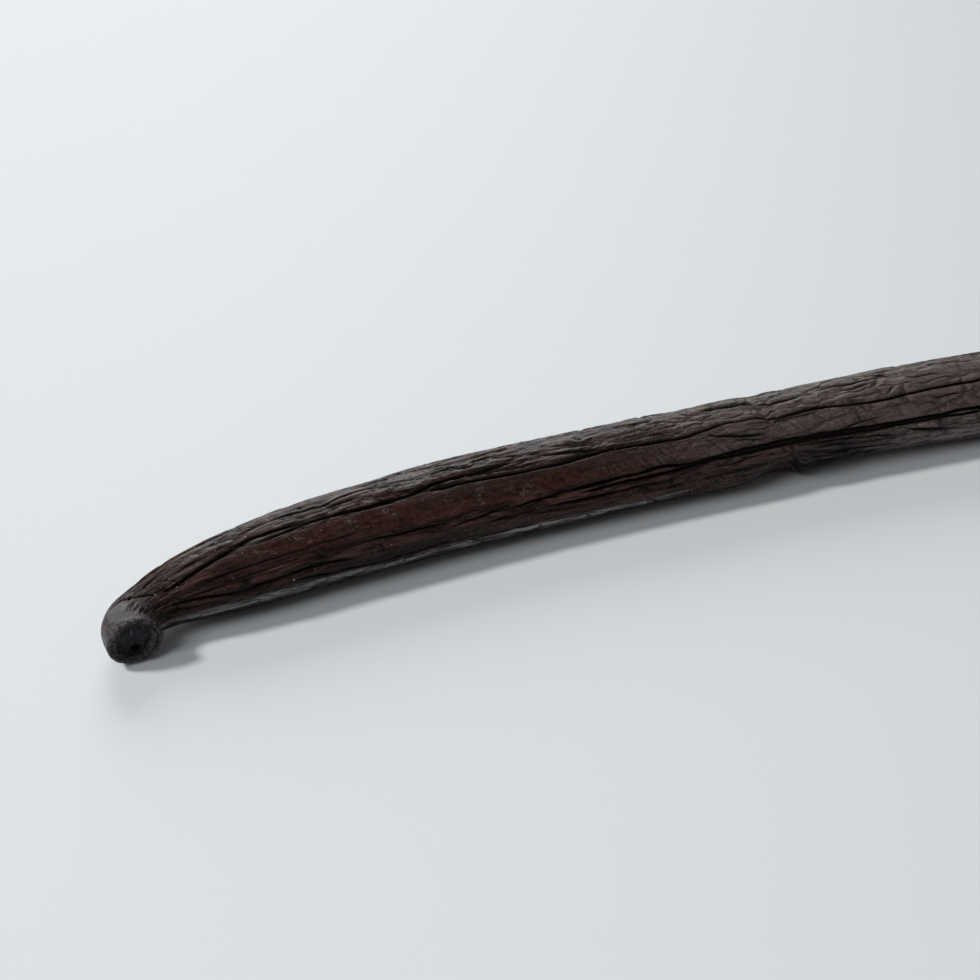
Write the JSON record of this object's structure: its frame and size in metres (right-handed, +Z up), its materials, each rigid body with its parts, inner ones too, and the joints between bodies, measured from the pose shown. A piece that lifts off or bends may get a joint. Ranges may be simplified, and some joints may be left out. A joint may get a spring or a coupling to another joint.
{
  "type": "vanilla pod",
  "caption": "Long cured vanilla pod, wrinkled and gently curved, with a hooked stem end that shows its scar; lies flat as a spice or garnish.",
  "frame": {"origin": "on the surface the pod lies on, under the middle of its box", "axes": "+X along the pod to its blossom end, +Y to its back, +Z up; the hooked stem end points to -X and opens to -Y"},
  "size_m": [0.1535, 0.017, 0.0076],
  "materials": {
    "skin": "dark red-brown cured skin, oily satin, with fine lengthwise wrinkles"
  },
  "bodies": {
    "root": {"pod": "skin"}
  },
  "joints": []
}
